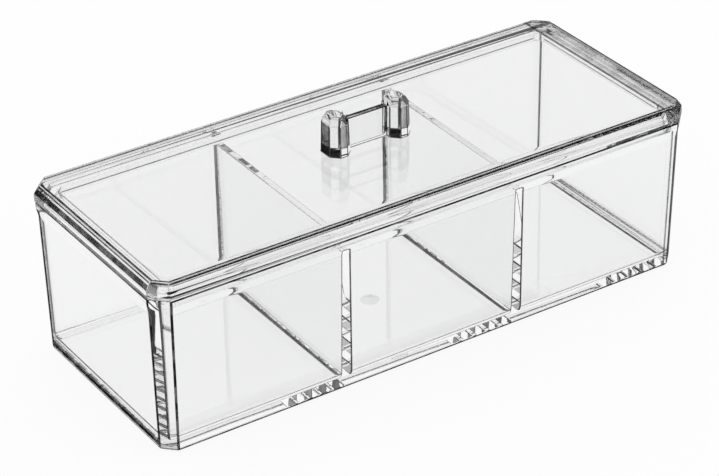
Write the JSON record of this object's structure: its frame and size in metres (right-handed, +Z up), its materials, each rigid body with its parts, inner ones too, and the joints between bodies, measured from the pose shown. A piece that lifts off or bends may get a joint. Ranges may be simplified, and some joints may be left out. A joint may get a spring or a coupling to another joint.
{
  "type": "makeup organizer",
  "caption": "Long clear plastic storage box with tapered dividers between open compartments, under a thick bevelled lift-off lid with a faceted H-shaped pull.",
  "frame": {"origin": "on the table, under the middle of the box", "axes": "+Z up, +X along the long side of the box, -Y is the front long side"},
  "size_m": [0.22, 0.088, 0.0807],
  "materials": {
    "clear_box": "clear polished",
    "clear_lid": "clear polished"
  },
  "bodies": {
    "box": {"box_shell": "clear_box", "divider_left": "clear_box", "divider_right": "clear_box"},
    "lid": {"lid_cover": "clear_lid", "handle": "clear_lid"}
  },
  "joints": [
    {"name": "lid_lift", "type": "slide", "parent": "box", "child": "lid", "axis": [0, 0, 1], "range_m": [0, 0.1]}
  ]
}
